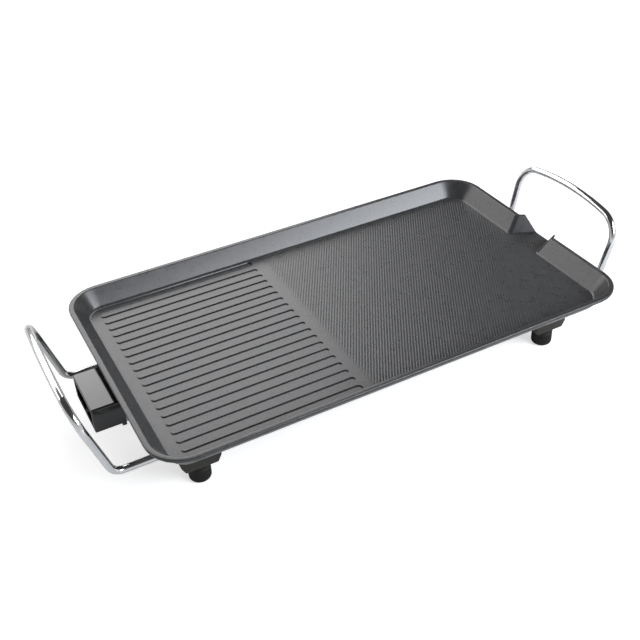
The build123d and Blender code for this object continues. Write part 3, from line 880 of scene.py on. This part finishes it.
def plate_underneath(material):
    """Cast band for the element, and the bosses for the legs and the straps."""
    bm = bmesh.new()
    band_half, band_deep, band_round = 7.0, 6.0, 1.2
    middle = underside - band_deep / 2 + 0.6
    corners = [
        (-band_half, -band_deep / 2, band_round), (band_half, -band_deep / 2, band_round),
        (band_half, band_deep / 2, band_round), (-band_half, band_deep / 2, band_round),
    ]
    section = [(p.x, p.y) for p in rounded(corners, steps=3)]
    route = element_route()
    points = [(x, y, middle) for x, y in route]
    sweep_wire(bm, points, [element_bend] * (len(route) - 2), section, 12)
    for x in (-leg_middle.x, leg_middle.x):
        for y in (-foot_middle.y, foot_middle.y):
            add_boss(bm, x, y, leg_boss_radius, leg_boss_length)
    for x, y in strap_places():
        for shift in (-strap_boss_offset, strap_boss_offset):
            add_boss(bm, x, y + shift, strap_boss_radius, underside - strap_high.z)
    return keep_piece("plate_underneath", bm, material, ["cooking_plate"])


def add_boss(bm, x, y, radius, length):
    """A cast boss below the plate, with a rounded rim."""
    profile = [
        (0.0, -length), (radius - 0.8, -length), (radius - 0.2, -length + 0.3),
        (radius, -length + 0.9), (radius, -1.2), (radius + 0.4, -0.3), (radius + 1.2, 0.3), (0.0, 0.3),
    ]
    line = [bm.verts.new((x + r, y, underside + z)) for r, z in profile]
    edges = [bm.edges.new(pair) for pair in zip(line, line[1:])]
    bmesh.ops.spin(
        bm, geom=edges, cent=(x, y, 0), axis=(0, 0, 1), angle=2 * math.pi, steps=24,
        use_merge=True, use_duplicate=False,
    )
    nearby = [v for v in bm.verts if (v.co.xy - Vector((x, y))).length < radius + 2]
    bmesh.ops.remove_doubles(bm, verts=nearby, dist=0.001)


# ------------------------------------------------ build the griddle

coating = nonstick_coating()
phenolic = moulded_phenolic()
grip = gripped_phenolic()
gloss = glossy_phenolic()
chrome = chromed_wire()
sheath = heat_tinted_sheath()
zinc = zinc_plate()
brass = rolled_brass()
nickel = nickelled_brass()
steatite = fired_steatite()

plate_shell(coating)
plate_ribs(coating)
plate_channel_floor(coating)
floor_side = plate_side - wall_foot + hidden
plate_dimples("plate_floor_far", 0.0, floor_side, coating)
plate_dimples("plate_floor_near", -floor_side, 0.0, coating)
plate_underneath(coating)

for end in ("right", "left"):
    for side in ("far", "near"):
        leg_block(f"leg_{side}_{end}", phenolic)
        foot(f"foot_{side}_{end}", grip)
handle_wire("right_handle", 1, chrome)
handle_wire("left_handle", -1, chrome)
socket_shell(gloss)

node_finish = {
    "heating_element": sheath,
    "element_straps": zinc,
    "strap_screws": zinc,
    "leg_screws": zinc,
    "handle_grub_screws": zinc,
    "socket_bracket": zinc,
    "socket_screws": zinc,
    "bracket_screws": zinc,
    "earth_screw": zinc,
    "probe_tube": zinc,
    "earth_contact": brass,
    "terminal_pin_far": nickel,
    "terminal_pin_near": nickel,
    "terminal_bush_far": steatite,
    "terminal_bush_near": steatite,
    "cooking_plate": coating,
    "socket_shroud": gloss,
    "right_handle": chrome,
    "left_handle": chrome,
}
for end in ("right", "left"):
    for side in ("far", "near"):
        node_finish[f"leg_{side}_{end}"] = phenolic
        node_finish[f"foot_{side}_{end}"] = grip
for name, finish in node_finish.items():
    for slot_index in range(len(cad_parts[name].material_slots)):
        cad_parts[name].material_slots[slot_index].material = finish


# ------------------------------------------------ floor, light and camera

def studio_floor():
    """A plain pale floor, bright to the eye but kept dimmer in the griddle's reflections."""
    bm = bmesh.new()
    bmesh.ops.create_grid(bm, x_segments=2, y_segments=2, size=6.0)
    mesh = bpy.data.meshes.new("studio_floor")
    bm.to_mesh(mesh)
    bm.free()
    floor = bpy.data.objects.new("studio_floor", mesh)
    bpy.context.scene.collection.objects.link(floor)
    material, tree, shader, place = new_material("pale_floor")
    tone = ramp(tree, noise(tree, place, 900.0), [(0.3, "#dcdcdc"), (0.7, "#e0e0e0")])
    tree.links.new(tone, shader.inputs["Base Color"])
    shader.inputs["Roughness"].default_value = 0.8
    tree.links.new(tone, shader.inputs["Emission Color"])
    seen = add_node(tree, "ShaderNodeLightPath").outputs["Is Camera Ray"]
    tree.links.new(spread(tree, seen, 0.0, 0.85), shader.inputs["Emission Strength"])
    material.cycles.emission_sampling = "NONE"
    mesh.materials.append(material)


def softbox(name, direction, distance, size, power, colour="#ffffff"):
    """A rectangular area light that faces the griddle."""
    light = bpy.data.lights.new(name, "AREA")
    light.shape = "RECTANGLE"
    light.size, light.size_y = size
    light.energy = power
    light.color = linear(colour)[:3]
    lamp = bpy.data.objects.new(name, light)
    bpy.context.scene.collection.objects.link(lamp)
    aim = Vector(direction).normalized()
    lamp.location = Vector((0, 0, rim_top * MM)) + aim * distance
    lamp.rotation_mode = "QUATERNION"
    lamp.rotation_quaternion = (-aim).to_track_quat("-Z", "Y")


def pale_room():
    """A white room to the height of the griddle's handles, with a dim ceiling above."""
    world = bpy.data.worlds.new("pale_room")
    world.use_nodes = True
    tree = world.node_tree
    direction = add_node(tree, "ShaderNodeTexCoord").outputs["Generated"]
    height = add_node(tree, "ShaderNodeSeparateXYZ", links={"Vector": direction}).outputs["Z"]
    stops = [
        (0.0, "#f2f2f2"), (0.12, "#c8c8c8"), (0.34, "#747474"), (0.52, "#424242"), (1.0, "#404040"),
    ]
    tree.links.new(ramp(tree, height, stops), tree.nodes["Background"].inputs["Color"])
    bpy.context.scene.world = world


def studio_light():
    """A broad source behind, a cooler one in front to the right and a weak one at the left."""
    pale_room()
    softbox("softbox_behind", (-0.03, 0.86, 0.66), 1.8, (1.75, 1.0), 20.5)
    softbox("softbox_front", (0.57, -0.84, 0.62), 1.7, (1.2, 0.75), 36.0, "#f2f6fb")
    softbox("softbox_left", (-0.70, 0.62, 0.42), 1.8, (1.0, 0.7), 6.0)


def look_from():
    """The camera: a little left of the cook and well above the table, with a slight roll."""
    azimuth, elevation, roll = (math.radians(a) for a in (-26.568, 36.415, -2.740))
    distance, lens, sensor = 855.91, 52.439, 36.0
    aim = Vector((-37.605, -28.955, rim_top))
    back = Vector((
        math.sin(azimuth) * math.cos(elevation),
        -math.cos(azimuth) * math.cos(elevation),
        math.sin(elevation),
    ))
    right = Vector((math.cos(azimuth), math.sin(azimuth), 0))
    up = back.cross(right)
    rolled_right = right * math.cos(roll) + up * math.sin(roll)
    rolled_up = up * math.cos(roll) - right * math.sin(roll)
    camera_data = bpy.data.cameras.new("camera")
    camera_data.lens = lens
    camera_data.sensor_width = sensor
    camera_data.clip_start, camera_data.clip_end = 0.01, 50.0
    camera = bpy.data.objects.new("camera", camera_data)
    bpy.context.scene.collection.objects.link(camera)
    turn = Matrix((rolled_right, rolled_up, back)).transposed().to_4x4()
    camera.matrix_world = Matrix.Translation((aim + back * distance) * MM) @ turn
    bpy.context.scene.camera = camera


studio_floor()
studio_light()
look_from()
bpy.context.scene.view_settings.view_transform = "Standard"
